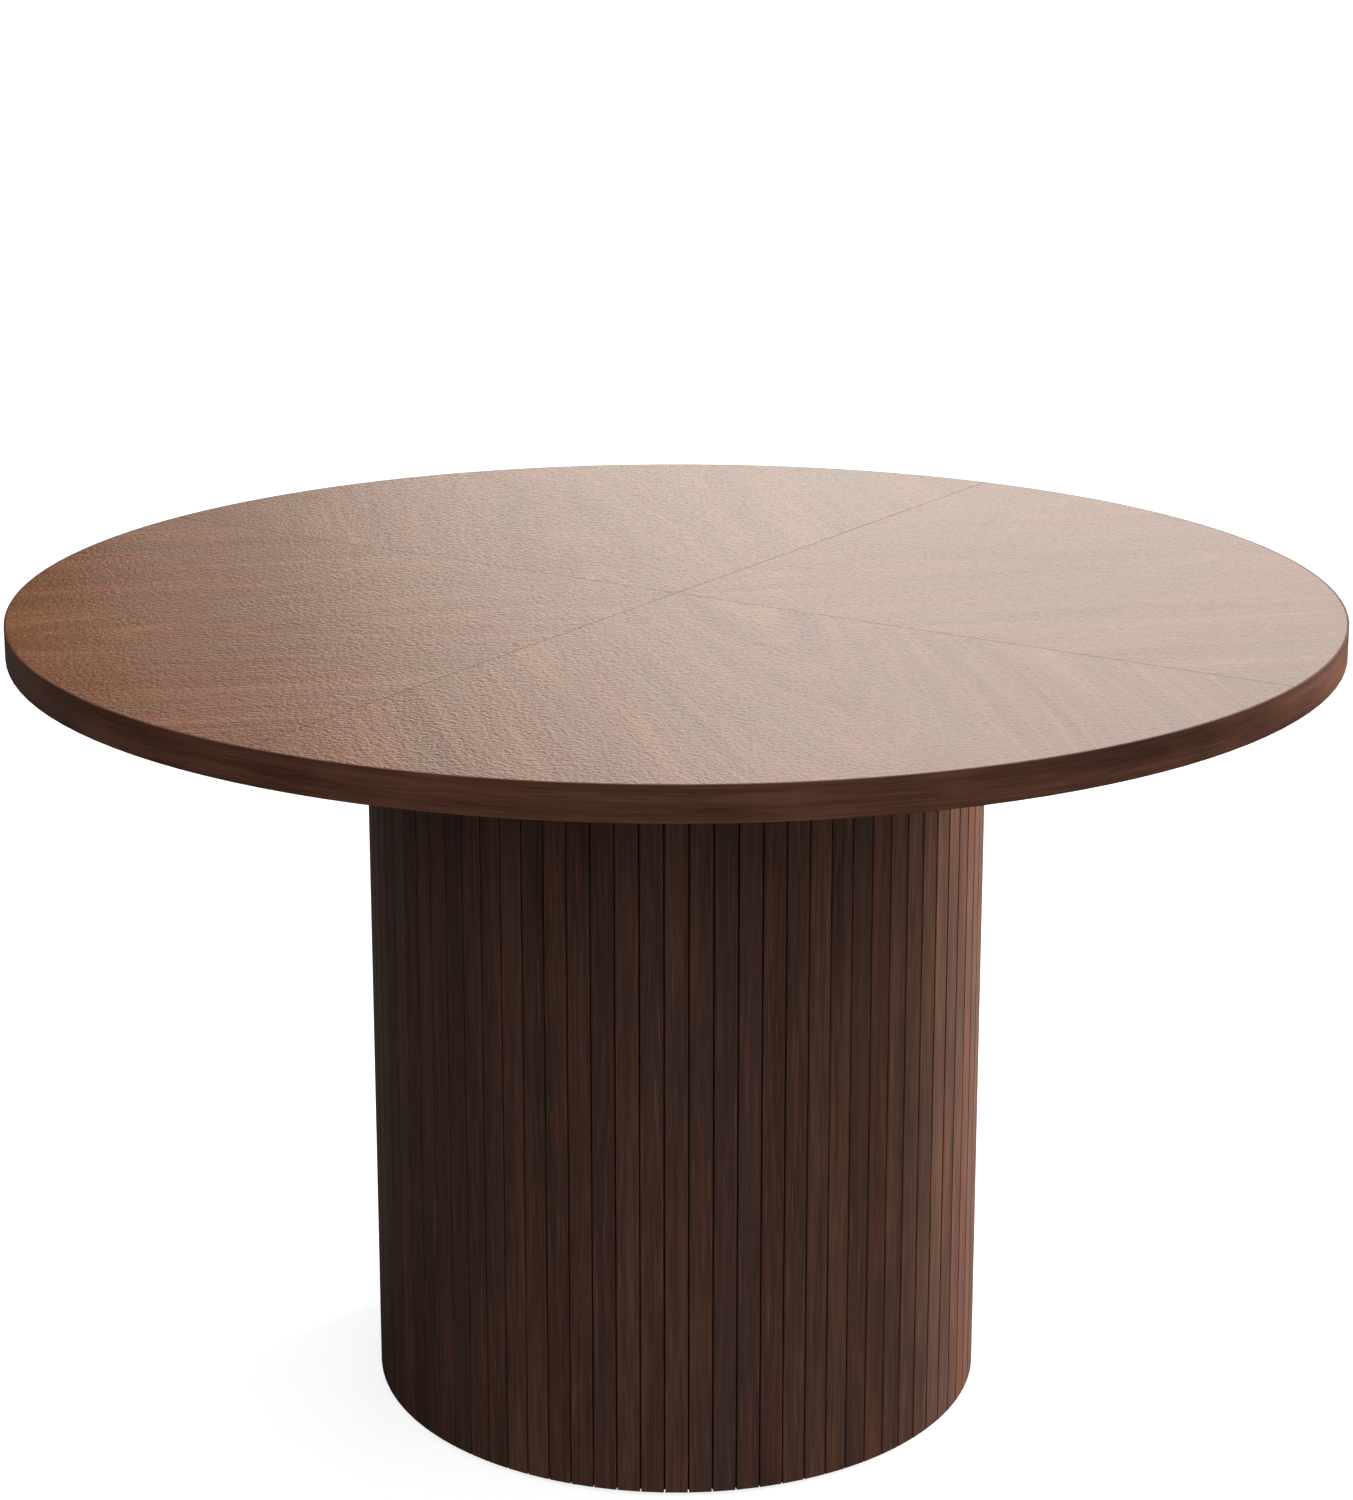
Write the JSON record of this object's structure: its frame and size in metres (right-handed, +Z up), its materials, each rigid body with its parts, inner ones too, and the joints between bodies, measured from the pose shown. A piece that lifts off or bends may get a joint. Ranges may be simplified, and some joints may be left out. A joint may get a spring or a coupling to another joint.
{
  "type": "round pedestal dining table",
  "caption": "Round dining table: quarter-matched walnut veneer top with an edge band, fixed on a wide drum clad in narrow vertical slats, on screw levellers.",
  "frame": {"origin": "on the floor under the middle of the drum", "axes": "+Z up through the middle of the top, front of the table towards -Y, +X to the right"},
  "size_m": [1.1998, 1.2, 0.75],
  "materials": {
    "walnut_veneer": "satin lacquered walnut veneer, grain along each quarter's middle line",
    "walnut_edge": "satin dark walnut edge band, grain along the circumference",
    "walnut_backing": "matt sealed balancing veneer",
    "walnut_slat": "semi-matt dark walnut, vertical grain, tone varies from slat to slat",
    "mdf": "raw fibreboard",
    "birch_plywood": "raw birch plywood",
    "beech": "raw turned beech",
    "canvas": "dark glued cotton canvas",
    "zinc_steel": "bright zinc plated",
    "brass": "turned brass",
    "pad_plastic": "matt black moulded nylon"
  },
  "bodies": {
    "table": {"tabletop_core": "mdf", "veneer_right": "walnut_veneer", "veneer_back": "walnut_veneer", "veneer_left": "walnut_veneer", "veneer_front": "walnut_veneer", "edge_band": "walnut_edge", "tabletop_backing": "walnut_backing", "tabletop_inserts": "brass", "tabletop_washers": "zinc_steel", "tabletop_bolts": "zinc_steel", "top_board": "mdf", "bottom_board": "mdf", "upper_rib_back": "birch_plywood", "upper_rib_front": "birch_plywood", "lower_rib_back": "birch_plywood", "lower_rib_front": "birch_plywood", "rib_bolts_upper": "zinc_steel", "rib_inserts_upper": "brass", "rib_bolts_lower": "zinc_steel", "rib_inserts_lower": "brass", "cross_panel_lateral": "birch_plywood", "cross_panel_fore_aft": "birch_plywood", "dowels_upper": "beech", "dowels_lower": "beech", "corner_brackets": "zinc_steel", "bracket_screws": "zinc_steel", "shell_right": "birch_plywood", "shell_left": "birch_plywood", "seam_batten_front": "birch_plywood", "seam_batten_back": "birch_plywood", "batten_screws": "zinc_steel", "canvas_1": "canvas", "canvas_2": "canvas", "canvas_3": "canvas", "canvas_4": "canvas", "slats_01": "walnut_slat", "slats_02": "walnut_slat", "slats_03": "walnut_slat", "slats_04": "walnut_slat", "slats_05": "walnut_slat", "slats_06": "walnut_slat", "slats_07": "walnut_slat", "slats_08": "walnut_slat", "slats_09": "walnut_slat", "slats_10": "walnut_slat", "slats_11": "walnut_slat", "slats_12": "walnut_slat", "leveller_tee_nuts": "zinc_steel"},
    "pad_front_right": {"leveller_pad_front_right": "pad_plastic"},
    "stem_front_right": {"leveller_stem_front_right": "zinc_steel"},
    "pad_back_right": {"leveller_pad_back_right": "pad_plastic"},
    "stem_back_right": {"leveller_stem_back_right": "zinc_steel"},
    "pad_back_left": {"leveller_pad_back_left": "pad_plastic"},
    "stem_back_left": {"leveller_stem_back_left": "zinc_steel"},
    "pad_front_left": {"leveller_pad_front_left": "pad_plastic"},
    "stem_front_left": {"leveller_stem_front_left": "zinc_steel"}
  },
  "joints": [
    {"name": "pad_travel_front_right", "type": "slide", "parent": "table", "child": "pad_front_right", "axis": [0, 0, -1], "range_m": [0, 0.008]},
    {"name": "stem_turn_front_right", "type": "hinge", "parent": "pad_front_right", "child": "stem_front_right", "pos_m": [0.15, -0.15, 0], "axis": [0, 0, 1], "range_deg": [0, 2304]},
    {"name": "pad_travel_back_right", "type": "slide", "parent": "table", "child": "pad_back_right", "axis": [0, 0, -1], "range_m": [0, 0.008]},
    {"name": "stem_turn_back_right", "type": "hinge", "parent": "pad_back_right", "child": "stem_back_right", "pos_m": [0.15, 0.15, 0], "axis": [0, 0, 1], "range_deg": [0, 2304]},
    {"name": "pad_travel_back_left", "type": "slide", "parent": "table", "child": "pad_back_left", "axis": [0, 0, -1], "range_m": [0, 0.008]},
    {"name": "stem_turn_back_left", "type": "hinge", "parent": "pad_back_left", "child": "stem_back_left", "pos_m": [-0.15, 0.15, 0], "axis": [0, 0, 1], "range_deg": [0, 2304]},
    {"name": "pad_travel_front_left", "type": "slide", "parent": "table", "child": "pad_front_left", "axis": [0, 0, -1], "range_m": [0, 0.008]},
    {"name": "stem_turn_front_left", "type": "hinge", "parent": "pad_front_left", "child": "stem_front_left", "pos_m": [-0.15, -0.15, 0], "axis": [0, 0, 1], "range_deg": [0, 2304]}
  ],
  "couplings": [
    {"joint": "pad_travel_front_right", "follows": "stem_turn_front_right", "m_per_rad": 0.00019894},
    {"joint": "pad_travel_back_right", "follows": "stem_turn_back_right", "m_per_rad": 0.00019894},
    {"joint": "pad_travel_back_left", "follows": "stem_turn_back_left", "m_per_rad": 0.00019894},
    {"joint": "pad_travel_front_left", "follows": "stem_turn_front_left", "m_per_rad": 0.00019894}
  ]
}
